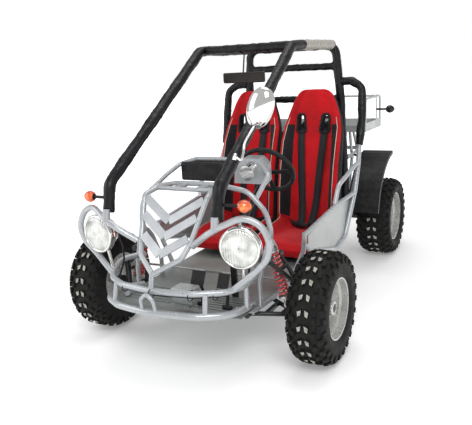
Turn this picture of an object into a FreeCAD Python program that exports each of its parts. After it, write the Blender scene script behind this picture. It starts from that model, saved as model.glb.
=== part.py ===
import FreeCAD, Part
import math
import os
from FreeCAD import Vector as V

# Two-seat off-road racing kart: welded tube chassis, padded roll cage, double-wishbone front,
# solid live rear axle on a swing arm, rear engine.  Millimetres.
# Frame: +Z up, -Y forward, +X the driver's left.  The origin is on the ground under the
# middle of the vehicle.  Inside this file Y is first counted from the front axle, and every
# shape is shifted by -Y_SHIFT when it is written.

# ------------------------------------------------------------------ driving dimensions
Y_SHIFT = 726.5          # front axle to the middle of the overall length
WHEELBASE = 1700.0
F_TRACK_H = 602.0        # half track, front
R_TRACK_H = 430.0        # half track, rear
F_R, F_HW = 260.0, 92.0  # front tyre radius, half width
R_R, R_HW = 265.0, 116.0 # rear tyre radius, half width
F_RIM, R_RIM = 138.0, 160.0
KING_X = 484.0           # kingpin
TUBE = 14.0              # chassis tube radius
PAD = 29.0               # padded cage tube radius
ROOF_Z = 1428.0
COL_AX = V(0, math.cos(math.radians(33)), math.sin(math.radians(33)))  # steering column, towards the driver
SW_C = V(200, 335, 815)  # steering wheel centre
SW_R = 148.0

parts = {}


# ------------------------------------------------------------------ helpers
def cyl(p, q, r):
    d = q.sub(p)
    return Part.makeCylinder(r, d.Length, p, d)


def ring(p, q, ro, ri):
    d = q.sub(p)
    return cyl(p, q, ro).cut(Part.makeCylinder(ri, d.Length + 2, p.sub(V(d).normalize()), d))


def fuse(shapes):
    s = shapes[0]
    if len(shapes) > 1:
        s = s.multiFuse(shapes[1:])
    return s


def route(pts, bend):
    """Line and tangent-arc edges through pts."""
    pts = [V(*p) if not isinstance(p, V) else p for p in pts]
    n = len(pts)
    bends = bend if isinstance(bend, (list, tuple)) else [bend] * (n - 2)
    edges, last = [], pts[0]
    for i in range(1, n - 1):
        a, b, c = pts[i - 1], pts[i], pts[i + 1]
        u, w = a.sub(b), c.sub(b)
        lu, lw = u.Length, w.Length
        u.normalize(); w.normalize()
        ang = math.pi - math.acos(max(-1, min(1, u.dot(w))))
        if ang < 0.02:
            continue
        r = bends[i - 1]
        t = r * math.tan(ang / 2)
        tmax = 0.46 * min(lu, lw)
        if t > tmax:
            t = tmax
            r = t / math.tan(ang / 2)
        p1, p2 = b + u * t, b + w * t
        bis = (u + w)
        bis.normalize()
        h = math.hypot(r, t)
        mid = b + bis * (h - r)
        if p1.sub(last).Length > 1e-3:
            edges.append(Part.LineSegment(last, p1).toShape())
        edges.append(Part.Arc(p1, mid, p2).toShape())
        last = p2
    edges.append(Part.LineSegment(last, pts[-1]).toShape())
    return Part.Wire(edges)


def tube(pts, r=TUBE, bend=60.0):
    w = route(pts, bend)
    e = w.Edges[0]
    p0 = e.valueAt(e.FirstParameter)
    t0 = e.tangentAt(e.FirstParameter)
    prof = Part.Wire([Part.Circle(p0, t0, r).toShape()])
    s = w.makePipeShell([prof], True, False)
    if s.ShapeType != "Solid":
        s = Part.Solid(Part.Shell(s.Faces))
    if s.Volume < 0:
        s.reverse()
    ideal = math.pi * r * r * w.Length
    if not s.isValid() or abs(s.Volume - ideal) > 0.03 * ideal:
        print("tube check", round(s.Volume / ideal, 3), s.isValid())
    return s


def mx(s):
    return s.mirror(V(0, 0, 0), V(1, 0, 0))


def both(s):
    return Part.Compound([s, mx(s)])


def loft(sections):
    return Part.makeLoft(sections, True, False)


def plate(pts, n, t):
    """Flat polygon pts thickened by t along n."""
    pts = [V(*p) if not isinstance(p, V) else p for p in pts]
    f = Part.Face(Part.makePolygon(pts + [pts[0]]))
    d = V(n)
    d.normalize()
    return f.extrude(d * t)


def bar(p, q, w, t, up=V(0, 0, 1)):
    """Rectangular bar from p to q: w across up's side, t along up."""
    p, q = V(*p), V(*q)
    d = q.sub(p)
    side = d.cross(up)
    side.normalize()
    n = side.cross(d)
    n.normalize()
    a = [p + side * (w / 2) + n * (t / 2), p - side * (w / 2) + n * (t / 2),
         p - side * (w / 2) - n * (t / 2), p + side * (w / 2) - n * (t / 2)]
    return Part.Face(Part.makePolygon(a + [a[0]])).extrude(d)


def revolve_x(profile, cx, cy, cz):
    """profile: list of (x, r) closed, turned about the X axis through (cx, cy, cz)."""
    pts = [V(cx + x, cy, cz + r) for x, r in profile]
    f = Part.Face(Part.makePolygon(pts + [pts[0]]))
    return f.revolve(V(cx, cy, cz), V(1, 0, 0), 360)


def egg(c, rx, ry, rz, n=7):
    """Closed oval body: elliptic sections stacked along Z."""
    ws = []
    for i in range(n):
        a = math.pi * (0.06 + 0.88 * i / (n - 1)) - math.pi / 2
        k = math.cos(a)
        z = rz * math.sin(a) / math.sin(math.pi * 0.44)
        big, small = max(rx, ry) * k, min(rx, ry) * k
        e = Part.Ellipse(V(0, 0, 0), big, small)
        if ry > rx:
            e.rotate(FreeCAD.Placement(V(0, 0, 0), FreeCAD.Rotation(V(0, 0, 1), 90)))
        w = Part.Wire([e.toShape()])
        w.translate(V(0, 0, z))
        ws.append(w)
    s = Part.makeLoft(ws, True, True)
    s.translate(c)
    return s


def turned(c, axis, prof):
    """Solid of revolution: prof is (distance along axis, radius), about axis through c."""
    ax = V(axis)
    ax.normalize()
    side = ax.cross(V(0, 0, 1)) if abs(ax.z) < 0.9 else ax.cross(V(1, 0, 0))
    side.normalize()
    pts = [c + ax * a + side * r for a, r in prof]
    return Part.Face(Part.makePolygon(pts + [pts[0]])).revolve(c, ax, 360)


def box(x0, y0, z0, x1, y1, z1):
    return Part.makeBox(x1 - x0, y1 - y0, z1 - z0, V(x0, y0, z0))


# ------------------------------------------------------------------ wheels
def tyre(cx, cy, R, hw, rim, side):
    s = side
    prof = [(-hw * 0.80, rim), (hw * 0.80, rim), (hw * 0.93, rim + 18), (hw * 1.0, rim + 0.38 * (R - rim)),
            (hw * 0.99, rim + 0.62 * (R - rim)), (hw * 0.93, R - 17), (hw * 0.80, R - 6), (hw * 0.55, R - 1.5), (hw * 0.25, R),
            (-hw * 0.25, R), (-hw * 0.55, R - 1.5), (-hw * 0.80, R - 6), (-hw * 0.93, R - 17), (-hw * 0.99, rim + 0.62 * (R - rim)),
            (-hw * 1.0, rim + 0.38 * (R - rim)), (-hw * 0.93, rim + 18)]
    return revolve_x(prof, cx, cy, R)


def wheel_f(side):
    """Front rim: pressed steel, disc set inboard of the outer lip, with its hub and black dust cap."""
    hw, r = F_HW * 0.80, F_RIM
    t = 3.0
    # barrel with lips
    prof = [(-hw - 4, r + 9), (-hw, r + 9), (-hw + 2, r), (-hw * 0.6, r), (-hw * 0.5, r - 16), (hw * 0.5, r - 16),
            (hw * 0.6, r), (hw - 2, r), (hw, r + 9), (hw + 4, r + 9), (hw + 2, r - t), (hw * 0.62, r - t), (hw * 0.52, r - 16 - t),
            (-hw * 0.52, r - 16 - t), (-hw * 0.62, r - t), (-hw - 2, r - t)]
    barrel = revolve_x(prof, 0, 0, 0)
    disc = revolve_x([(4, 30), (10, 30), (16, 70), (14, 100), (6, r - 18), (0, r - 18), (8, 98), (10, 72), (4, 34)], 0, 0, 0)
    hub = cyl(V(-36, 0, 0), V(30, 0, 0), 31)
    hub = hub.cut(Part.makeCylinder(10.05, 64, V(-37, 0, 0), V(1, 0, 0)))
    body = fuse([barrel, disc, hub])
    cap = Part.makeCylinder(34, 34, V(22, 0, 0), V(1, 0, 0))
    cap = cap.makeFillet(8, [e for e in cap.Edges if abs(e.BoundBox.XMin - 56) < 1e-3 and abs(e.BoundBox.XMax - 56) < 1e-3])
    body = body.fuse(cap.cut(Part.makeCylinder(10.05, 12, V(16, 0, 0), V(1, 0, 0))))
    if side < 0:
        body = mx(body)
    body.translate(V(side * F_TRACK_H, 0, F_R))
    return body


for side, nm in ((1, "left"), (-1, "right")):
    rim = wheel_f(side)
    parts["front_%s_wheel" % nm] = rim
    parts["front_%s_tyre" % nm] = tyre(side * F_TRACK_H, 0, F_R, F_HW, F_RIM, side).cut(rim)

RC = V(0, WHEELBASE, R_R)


def wheel_r(side):
    hw, r, t = R_HW * 0.80, R_RIM, 3.0
    prof = [(-hw - 4, r + 9), (-hw, r + 9), (-hw + 2, r), (-hw * 0.6, r), (-hw * 0.5, r - 18), (hw * 0.5, r - 18),
            (hw * 0.6, r), (hw - 2, r), (hw, r + 9), (hw + 4, r + 9), (hw + 2, r - t), (hw * 0.62, r - t), (hw * 0.52, r - 18 - t),
            (-hw * 0.52, r - 18 - t), (-hw * 0.62, r - t), (-hw - 2, r - t)]
    barrel = revolve_x(prof, 0, 0, 0)
    disc = revolve_x([(4, 20), (10, 20), (18, 80), (16, 116), (6, r - 20), (0, r - 20), (9, 114), (12, 82), (4, 34)], 0, 0, 0)
    hub = cyl(V(-50, 0, 0), V(26, 0, 0), 32)
    body = fuse([barrel, disc, hub])
    if side < 0:
        body = mx(body)
    body.translate(V(side * R_TRACK_H, WHEELBASE, R_R))
    return body


axle = cyl(V(-R_TRACK_H - 44, WHEELBASE, R_R), V(R_TRACK_H + 44, WHEELBASE, R_R), 15)
sprocket = revolve_x([(-3, 15), (3, 15), (3, 92), (-3, 92)], 60, WHEELBASE, R_R)
disc = revolve_x([(-2, 15), (2, 15), (2, 85), (-2, 85)], -60, WHEELBASE, R_R)
sp_hub = cyl(V(40, WHEELBASE, R_R), V(80, WHEELBASE, R_R), 28)
dk_hub = cyl(V(-80, WHEELBASE, R_R), V(-40, WHEELBASE, R_R), 28)
nuts = [cyl(V(s * (R_TRACK_H + 26), WHEELBASE, R_R), V(s * (R_TRACK_H + 40), WHEELBASE, R_R), 22) for s in (1, -1)]
parts["rear_axle"] = fuse([axle, sprocket, disc, sp_hub, dk_hub] + nuts)
rw = [wheel_r(1), wheel_r(-1)]
rw = [w.cut(parts["rear_axle"]) for w in rw]
for w, s, nm in ((rw[0], 1, "left"), (rw[1], -1, "right")):
    parts["rear_%s_wheel" % nm] = w
    parts["rear_%s_tyre" % nm] = tyre(s * R_TRACK_H, WHEELBASE, R_R, R_HW, R_RIM, s).cut(w)


# ------------------------------------------------------------------ steering knuckles
def knuckle():
    post = cyl(V(KING_X, 0, 222), V(KING_X, 0, 338), 15)
    spindle = cyl(V(KING_X, 0, F_R), V(F_TRACK_H + 22, 0, F_R), 10)
    boss = cyl(V(KING_X, 0, F_R), V(F_TRACK_H - 42, 0, F_R), 20)
    arm = bar((KING_X, 0, 318), (KING_X - 8, 74, 318), 22, 10)
    eye = Part.makeCylinder(13, 10, V(KING_X - 8, 74, 313))
    disc = revolve_x([(-2, 19), (2, 19), (2, 70), (-2, 70)], KING_X + 32, 0, F_R)
    return fuse([post, spindle, boss, arm, eye])


parts["knuckle_left"] = knuckle()
parts["knuckle_right"] = mx(knuckle())


def arms():
    zl, zu = 206, 352
    lo = fuse([
        tube([(282, -112, 224), (380, -58, 214), (KING_X - 10, -6, zl)], 11, 60),
        tube([(282, 112, 224), (380, 58, 214), (KING_X - 10, 6, zl)], 11, 60),
        bar((352, -70, 217), (352, 70, 217), 20, 16),
        bar((420, -30, 211), (420, 30, 211), 26, 16),
        Part.makeCylinder(17, 28, V(KING_X, 0, 192)),
        cyl(V(282, -136, 224), V(282, -88, 224), 16), cyl(V(282, 88, 224), V(282, 136, 224), 16)])
    up = fuse([
        tube([(368, -62, 470), (430, -34, 412), (KING_X - 8, -4, zu + 4)], 10, 50),
        tube([(368, 62, 470), (430, 34, 412), (KING_X - 8, 4, zu + 4)], 10, 50),
        Part.makeCylinder(16, 26, V(KING_X, 0, 340)),
        cyl(V(368, -84, 470), V(368, -44, 470), 14), cyl(V(368, 44, 470), V(368, 84, 470), 14),
        bar((414, -42, 428), (414, 42, 428), 14, 14)])
    return [lo, up]


A = arms()
parts["front_arms"] = Part.Compound(A + [mx(a) for a in A])


# ------------------------------------------------------------------ spring and damper units
def coilover(p, q, coil=27.0, rod=6.0):
    """p top, q bottom: damper body, rod, spring seats and the spring's envelope."""
    d = q.sub(p)
    L = d.Length
    u = V(d)
    u.normalize()
    s = [cyl(p, p + u * L, rod + 1), cyl(p + u * 20, p + u * (0.30 * L), 13), cyl(p + u * (L * 0.12), p + u * (L * 0.84), coil),
         cyl(p + u * (L * 0.10), p + u * (L * 0.12), coil + 4), cyl(p + u * (L * 0.84), p + u * (L * 0.87), coil + 4),
         cyl(p + u * (L * 0.84), p + u * (L - 14), 12)]
    out = fuse(s)
    ax = V(0, 1, 0)
    out = out.fuse(cyl(p - ax * 14, p + ax * 14, 13)).fuse(cyl(q - ax * 14, q + ax * 14, 13))
    return out


SH_T, SH_B = V(356, 0, 530), V(428, 0, 246)
sh = coilover(SH_T, SH_B, 26)
parts["front_shocks"] = Part.Compound([sh, mx(sh)])
RS_T, RS_B = V(205, 1420, 640), V(222, 1590, 345)
rsh = coilover(RS_T, RS_B, 27)
parts["rear_shocks"] = Part.Compound([rsh, mx(rsh)])

# ------------------------------------------------------------------ chassis
FZ = 262.0
rail = tube([(300, -255, 300), (330, -150, FZ), (345, 40, FZ), (352, 300, FZ), (352, 1090, FZ), (300, 1190, FZ + 20)], 14, 120)
cross = [cyl(V(-352, y, FZ), V(352, y, FZ), 12) for y in (330, 760, 1085)]
cross_f = [cyl(V(-336, -112, FZ), V(336, -112, FZ), 13), cyl(V(-342, 112, FZ), V(342, 112, FZ), 13)]
arm_post = []
for y in (-112, 112):
    arm_post.append(cyl(V(304, y, 224), V(304, y, FZ), 9))
towers = fuse([tube([(340, -106, FZ), (340, -104, 380), (352, -56, 505), (352, 0, 566), (352, 56, 505), (340, 104, 380), (340, 106, FZ)], 11, 40),
               cyl(V(346, -70, 470), V(346, 70, 470), 9)])
ear = fuse([bar((352, -22, 520), (352, -22, 560), 22, 6, V(0, 1, 0)), bar((352, 22, 520), (352, 22, 560), 22, 6, V(0, 1, 0))])
lower = fuse([rail, mx(rail)] + cross + cross_f + [towers, mx(towers)] + arm_post + [mx(a) for a in arm_post])
centre = tube([(0, -112, FZ), (0, 330, FZ), (0, 1085, FZ)], 12, 60)
lower = lower.fuse(centre)
parts["lower_frame"] = lower

# side frames: cage foot, arm rest, panel rails
side = fuse([
    tube([(452, 1098, 842), (462, 1040, 740), (466, 960, 600), (450, 805, 352), (448, 655, 326), (436, 300, 420), (430, 236, 470)], 14, 60),
    tube([(463, 1045, 748), (462, 985, 742), (440, 735, 668), (432, 690, 570)], 13, 70),
    tube([(465, 940, 585), (440, 690, 566), (430, 236, 520)], 12, 90),
    tube([(430, 236, 532), (430, 230, 495), (420, 236, 430), (345, 236, FZ)], 12, 40),
    cyl(V(449, 700, 332), V(352, 700, FZ), 12), cyl(V(450, 805, 352), V(352, 860, FZ), 12),
    cyl(V(463, 1030, 725), V(352, 1085, FZ), 12),
])
parts["side_frames"] = Part.Compound([side, mx(side)])
pan_pts = [(246, 514), (690, 562), (928, 578), (806, 362), (660, 336), (300, 428), (248, 468)]
sp = Part.Face(Part.makePolygon([V(441, y, z) for y, z in pan_pts] + [V(441, *pan_pts[0])])).extrude(V(3, 0, 0))
parts["side_panel_left"] = sp
parts["side_panel_right"] = mx(sp)

# floor
fl = fuse([box(-338, -300, 278, 338, -96, 281), box(-338, -96, 276, 338, 1080, 279)])
toe = Part.Face(Part.makePolygon([V(-322, -298, 278), V(322, -298, 278), V(210, -440, 322), V(-210, -440, 322), V(-322, -298, 278)])).extrude(V(0, 0, 3))
parts["floor_pan"] = fl.fuse(toe)

# bumper
lowt = tube([(300, -120, 300), (352, -250, 318), (318, -372, 322), (200, -448, 328), (0, -496, 338), (-200, -448, 328), (-318, -372, 322), (-352, -250, 318), (-300, -120, 300)], 16, 160)
upt = tube([(300, -92, 452), (368, -190, 446), (352, -268, 424), (300, -352, 415), (180, -428, 420), (0, -466, 426), (-180, -428, 420), (-300, -352, 415), (-352, -268, 424), (-368, -190, 446), (-300, -92, 452)], 14, 140)
ups = [cyl(V(s * 232, -404, 419), V(s * 236, -424, 324), 12) for s in (1, -1)]
ups += [cyl(V(s * 352, -262, 424), V(s * 350, -262, 318), 12) for s in (1, -1)]
tow = tube([(-34, -488, 338), (-32, -500, 396), (0, -502, 428), (32, -500, 396), (34, -488, 338)], 9, 30)
stubs = [cyl(V(s * 300, -120, 300), V(s * 326, -120, FZ), 13) for s in (1, -1)] + [cyl(V(s * 300, -92, 452), V(s * 344, -84, 400), 12) for s in (1, -1)]
nose_post = cyl(V(0, -446, 500), V(0, -464, 426), 12)
parts["front_bumper"] = fuse([lowt, upt] + ups + stubs + [tow, nose_post])


# headlight loops
def loop():
    return tube([(146, -338, 602), (232, -372, 664), (300, -372, 706), (390, -328, 745), (464, -312, 710), (500, -312, 634),
                 (478, -306, 562), (420, -300, 504), (322, -317, 420)], 14, 90)


lp = loop()
# front posts that carry the cage rails
post = cyl(V(281, -376, 690), V(280, -366, 745), 17)
lp = lp.fuse(post)
parts["headlight_loops"] = Part.Compound([lp, mx(lp)])

# nose shield with three chevrons


def shield():
    half = tube([(0, -446, 494), (104, -374, 548), (130, -326, 612), (166, -226, 790), (150, -150, 806), (150, -30, 800)], 12, 45)
    s = [half, mx(half)]
    for zc, yc, hw in ((700, -262, 152), (640, -308, 138), (572, -356, 116)):
        dz = 0.52 * hw if hw > 120 else 0.5 * hw
        for k in (1, -1):
            p0 = (0, yc - 26, zc - 10)
            p1 = (k * hw, yc + 28, zc + dz)
            s.append(bar(p0, p1, 40, 6, V(0, -0.80, 0.60)))
    s.append(cyl(V(-152, -150, 806), V(152, -150, 806), 10))
    s.append(cyl(V(-60, -150, 806), V(-60, -30, 800), 9))
    s.append(cyl(V(60, -150, 806), V(60, -30, 800), 9))
    return fuse(s)


parts["nose_shield"] = shield()

# cowl hoop, dash legs
hoop = tube([(345, 6, 500), (362, -6, 600), (344, -16, 690), (262, -24, 782), (120, -30, 806), (0, -32, 808), (-120, -30, 806), (-262, -24, 782), (-344, -16, 690), (-362, -6, 600), (-345, 6, 500)], 12, 110)
legs = tube([(296, -16, 742), (318, 90, 838), (250, 168, 868), (150, 226, 884), (-150, 226, 884), (-232, 190, 860), (-262, 110, 820), (-262, -22, 776)], 11, 50)
parts["cowl_hoop"] = fuse([hoop, legs])

# dash: closed glove box, rounded silver top, instrument pod
dash = Part.makeBox(262, 92, 96, V(-224, 178, 776))
dash = dash.makeFillet(10, dash.Edges)
parts["dash_box"] = dash
pod_c = V(196, 128, 846)
pod = cyl(pod_c + V(0, -26, -6), pod_c + V(0, 44, 12), 38)
cowl = loft([Part.makePolygon([V(x, y, z) for x, y, z in q] + [V(*q[0])]) for q in
             ([(104, 150, 780), (278, 150, 780), (276, 150, 862), (236, 150, 902), (150, 150, 902), (108, 150, 866)],
              [(110, 232, 790), (268, 232, 790), (266, 232, 872), (232, 232, 908), (152, 232, 908), (114, 232, 874)])])
hollow = box(122, 160, 770, 256, 260, 862)
parts["dash_cowl"] = cowl.cut(hollow)
parts["instrument_pod"] = pod

# ------------------------------------------------------------------ roll cage
rl = tube([(281, -352, 724), (282, -322, 856), (270, 525, 1422), (279, 640, ROOF_Z), (281, 1120, ROOF_Z + 2)], PAD, [70, 70, 60])
parts["cage_rail_left"] = rl
parts["cage_rail_right"] = mx(rl)
parts["roof_crossbar"] = cyl(V(-262, 560, ROOF_Z - 2), V(262, 560, ROOF_Z - 2), PAD - 4)
rh = tube([(330, 1190, 300), (326, 1196, 640), (308, 1196, 1120), (284, 1180, ROOF_Z), (-284, 1180, ROOF_Z), (-308, 1196, 1120), (-326, 1196, 640), (-330, 1190, 300)], PAD - 2, 62)
mid1 = cyl(V(-282, 1186, 1306), V(282, 1186, 1306), 22)
mid2 = cyl(V(-296, 1196, 1112), V(296, 1196, 1112), 22)
mid3 = cyl(V(-316, 1196, 760), V(316, 1196, 760), 18)
parts["rear_hoop"] = fuse([rh, mid1, mid2, mid3])
sb = tube([(300, 1192, 1214), (380, 1180, 1216), (450, 1172, 1176), (456, 1140, 985), (452, 1098, 842)], PAD - 3, 60)
parts["cage_side_bars"] = Part.Compound([sb, mx(sb)])


# ------------------------------------------------------------------ seats
def seat(cx):
    """Bucket seat: back, wings, cushion and its side bolsters, with two harness slots."""
    def sec(z, yf, hw, th):
        return Part.makePolygon([V(cx - hw, yf, z), V(cx + hw, yf, z), V(cx + hw, yf + th, z), V(cx - hw, yf + th, z), V(cx - hw, yf, z)])
    secs = [sec(330, 880, 176, 120), sec(420, 892, 180, 110), sec(640, 940, 184, 90), sec(860, 988, 188, 74), sec(960, 1010, 186, 68),
            sec(1040, 1028, 168, 64), (sec(1120, 1044, 134, 60)), sec(1172, 1054, 100, 56), sec(1192, 1058, 74, 52)]
    back = Part.makeLoft(secs, True, True)
    wings = []
    for k in (1, -1):
        x0, x1 = cx + k * 126, cx + k * 192
        xa, xb = min(x0, x1), max(x0, x1)
        w = Part.makeLoft([Part.makePolygon([V(xa, y0, z), V(xb, y0, z), V(xb, y1, z), V(xa, y1, z), V(xa, y0, z)]) for z, y0, y1 in
                           ((420, 820, 960), (560, 836, 990), (760, 888, 1020), (900, 940, 1040), (985, 990, 1050))], True, True)
        wings.append(w)
    cush = Part.makeLoft([Part.makePolygon([V(cx - hw, y, z0), V(cx + hw, y, z0), V(cx + hw, y, z1), V(cx - hw, y, z1), V(cx - hw, y, z0)]) for y, z0, z1, hw in
                          ((430, 296, 372, 168), (470, 290, 398, 180), (620, 286, 392, 186), (800, 286, 372, 186), (930, 290, 372, 180))], True, True)
    bol = []
    for k in (1, -1):
        x0, x1 = cx + k * 140, cx + k * 192
        xa, xb = min(x0, x1), max(x0, x1)
        bol.append(Part.makeLoft([Part.makePolygon([V(xa, y, 300), V(xb, y, 300), V(xb, y, z1), V(xa, y, z1), V(xa, y, 300)]) for y, z1 in
                                  ((450, 404), (600, 430), (780, 440), (900, 450))], True, True))
    s = fuse([back, cush] + wings + bol)
    for k in (1, -1):
        h = Part.makeLoft([Part.makePolygon([V(cx + k * 44, y, 938), V(cx + k * 98, y, 938), V(cx + k * 94, y, 1030), V(cx + k * 60, y, 1030), V(cx + k * 44, y, 938)]) for y in (930, 1160)], True, True)
        s = s.cut(h)
    return s


SX = 198.0
parts["driver_seat"] = seat(SX)
parts["passenger_seat"] = mx(parts["driver_seat"])


# shoulder and lap belts, thin straps lying just proud of the seats
def strap(pts, w, t, n0):
    """Ribbon through pts, w wide along X mostly, as short flat bars."""
    segs = []
    for a, b in zip(pts[:-1], pts[1:]):
        segs.append(bar(a, b, w, t, V(*n0)))
    return fuse(segs)


def harness(cx):
    a = []
    for k in (1, -1):
        a.append(strap([(cx + k * 70, 1006, 968), (cx + k * 60, 928, 700), (cx + k * 46, 870, 470)], 40, 3, (0, -1, 0.2)))
    a.append(strap([(cx - 120, 840, 462), (cx + 120, 840, 462)], 4, 40, (0, -0.4, 1)))
    buckle = box(cx - 28, 822, 440, cx + 28, 836, 492)
    return fuse(a + [buckle])


# ------------------------------------------------------------------ lamps, mirrors
HL = V(362, -322, 606)


def headlight(c):
    prof = [(0, 0), (0, 82), (-6, 88), (-16, 92), (-26, 92), (-40, 84), (-70, 66), (-100, 40), (-116, 18), (-120, 0)]
    ax = V(0, -1, 0)
    pts = [V(c.x + r, c.y - x, c.z) for x, r in prof]
    f = Part.Face(Part.makePolygon(pts + [pts[0]]))
    s = f.revolve(V(c.x, c.y, c.z), ax, 360)
    s = s.fuse(cyl(V(c.x, c.y + 50, c.z - 60), V(354, -272, 424), 8))
    s = s.fuse(cyl(V(c.x, c.y + 40, c.z + 70), V(c.x - 2, c.y + 4, c.z + 128), 7))
    s.rotate(c, V(0, 0, 1), 8)
    return s


hl = headlight(HL)
hr = mx(headlight(V(388, -322, 608)))
parts["headlights"] = Part.Compound([hl, hr])
half_loom = [(362, -214, 592), (346, -196, 520), (338, -206, 448), (330, -252, 400), (285, -335, 393), (170, -408, 397), (0, -446, 402)]
parts["wiring_loom"] = tube(half_loom + [(-x, y, z) for x, y, z in half_loom[-2::-1]], 5, 70)
LENS = [(-30, 0), (-28, 12), (-20, 21), (-8, 26), (4, 26), (16, 21), (26, 12), (31, 0)]
tsl = turned(V(400, -330, 790), V(1, 0, 0), LENS)
tsl = tsl.fuse(cyl(V(375, -330, 790), V(300, -332, 790), 7))
parts["front_turn_signals"] = Part.Compound([tsl, mx(tsl)])

mir = egg(V(0, 0, 0), 62, 24, 96)
mir = mir.cut(box(-100, 12, -120, 100, 40, 120))
mir.rotate(V(0, 0, 0), V(0, 1, 0), 20)
mir.translate(V(368, -76, 1160))
stem = tube([(300, -196, 968), (330, -190, 950), (316, -140, 1020), (342, -80, 1092)], 6, 22)
clampb = cyl(V(292, -236, 938), V(318, -176, 978), 12)
parts["side_mirror"] = fuse([mir, stem])
cm = box(-122, 500, 1248, 122, 524, 1304)
cm = cm.makeFillet(9, cm.Edges)
cstem = cyl(V(0, 530, 1405), V(-4, 514, 1300), 4)
parts["centre_mirror"] = cm.fuse(cstem)

# ------------------------------------------------------------------ steering column, linkage, pedals
d = COL_AX
COL_LOW = SW_C - d * 520
col = cyl(SW_C - d * 60, COL_LOW, 15)
bore = cyl(SW_C - d * 20, COL_LOW - d * 2, 9.06)
low_br = bar((COL_LOW.x, COL_LOW.y + 14, COL_LOW.z + 4), (COL_LOW.x, COL_LOW.y + 20, FZ + 8), 30, 12, V(0, 1, 0))
up_br = cyl(SW_C - d * 100, V(SW_C.x, 226, 884), 9)
parts["steering_column"] = fuse([col, low_br, up_br]).cut(bore)
tor = Part.makeTorus(SW_R - 12, 12, SW_C, d)
hubw = cyl(SW_C - d * 34, SW_C - d * 6, 26)
sp_w = []
e1 = V(1, 0, 0)
e2 = d.cross(e1)
for ang in (0, 180, 270):
    a = math.radians(ang)
    q = SW_C + e1 * (math.cos(a) * (SW_R - 12)) - e2 * (math.sin(a) * (SW_R - 12))
    p = SW_C - d * 18
    sp_w.append(bar((p.x, p.y, p.z), (q.x, q.y, q.z), 24, 5, d))
shaft = cyl(SW_C - d * 30, SW_C - d * 300, 9)
parts["steering_wheel"] = fuse([tor, hubw, shaft] + sp_w)

TZ = 332.0
links = []
for s in (1, -1):
    links.append(cyl(V(s * 40, 74, TZ + 2), V(s * (KING_X - 8 - 10), 74, TZ + 2), 6))
    links.append(Part.makeCylinder(11, 8, V(s * (KING_X - 8), 74, TZ - 2)))
links.append(box(-48, 66, TZ - 4, 48, 82, TZ + 8))
parts["tie_rods"] = fuse(links)


def pedal(x, w):
    pad_ = plate([(x - w / 2, -262, 392), (x + w / 2, -262, 392), (x + w / 2, -232, 452), (x - w / 2, -232, 452)], (0, -0.9, 0.45), 6)
    arm_ = tube([(x, -248, 410), (x, -214, 352), (x, -228, 300)], 7, 24)
    foot = cyl(V(x - 22, -228, 292), V(x + 22, -228, 292), 10)
    return fuse([pad_, arm_, foot])


parts["pedals"] = Part.Compound([pedal(105, 66), pedal(235, 54)])
mc = box(20, -352, 330, 128, -272, 402)
mc = mc.makeFillet(8, mc.Edges)
mc = mc.fuse(box(36, -346, 312, 110, -282, 340))
parts["fluid_box"] = mc

# ------------------------------------------------------------------ rear: subframe, swing arm, engine
sub = tube([(330, 1205, 720), (300, 1300, 724), (285, 1560, 724), (250, 1800, 724), (-250, 1800, 724), (-285, 1560, 724), (-300, 1300, 724), (-330, 1205, 720)], 13, 60)
brace = cyl(V(322, 1215, 330), V(286, 1500, 724), 11)
cross_s = cyl(V(-292, 1420, 724), V(292, 1420, 724), 12)
drop = [cyl(V(s * 205, 1420, 724), V(s * 205, 1420, 640 + 18), 10) for s in (1, -1)]
lowr = tube([(300, 1200, 286), (230, 1260, 300), (200, 1400, 300), (200, 1480, 320), (-200, 1480, 320), (-200, 1400, 300), (-230, 1260, 300), (-300, 1200, 286)], 12, 50)
pivp = [cyl(V(s * 180, 1250, 300), V(s * 180, 1250, 345), 14) for s in (1, -1)]
parts["rear_subframe"] = fuse([sub, brace, mx(brace), cross_s] + drop + [lowr])
sw = fuse([tube([(s * 240, 1262, 345), (s * 248, 1400, 318), (s * 248, 1560, 300), (s * 236, 1690, 268)], 15, 90) for s in (1, -1)] +
          [cyl(V(-262, 1262, 345), V(262, 1262, 345), 14), cyl(V(-248, 1530, 304), V(248, 1530, 304), 12)] +
          [ring(V(s * 212, 1700, R_R), V(s * 268, 1700, R_R), 34, 15.06) for s in (1, -1)])
sw = sw.cut(cyl(V(-300, 1700, R_R), V(300, 1700, R_R), 15.06))
tabs = [box(s * 222 - 12, 1574, 300, s * 222 + 12, 1606, 334) for s in (1, -1)]
parts["swing_arm"] = sw.fuse(tabs[0]).fuse(tabs[1]).cut(cyl(V(-300, 1700, R_R), V(300, 1700, R_R), 15.06))
eng = box(-150, 1290, 345, 150, 1470, 600)
eng = eng.makeFillet(14, eng.Edges)
eng = eng.fuse(cyl(V(-20, 1400, 560), V(-20, 1360, 690), 58))
parts["engine"] = eng
ex = fuse([tube([(-20, 1300, 600), (-20, 1262, 620), (-140, 1250, 560), (-178, 1330, 560), (-178, 1500, 640), (-178, 1560, 650)], 14, 40),
           cyl(V(-150, 1560, 640), V(-120, 1880, 650), 46)])
parts["exhaust"] = ex
ft = box(-150, 1262, 772, 150, 1400, 900)
ft = ft.makeFillet(24, ft.Edges)
ft = ft.fuse(cyl(V(0, 1330, 895), V(0, 1330, 918), 26))
parts["fuel_tank"] = ft


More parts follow.
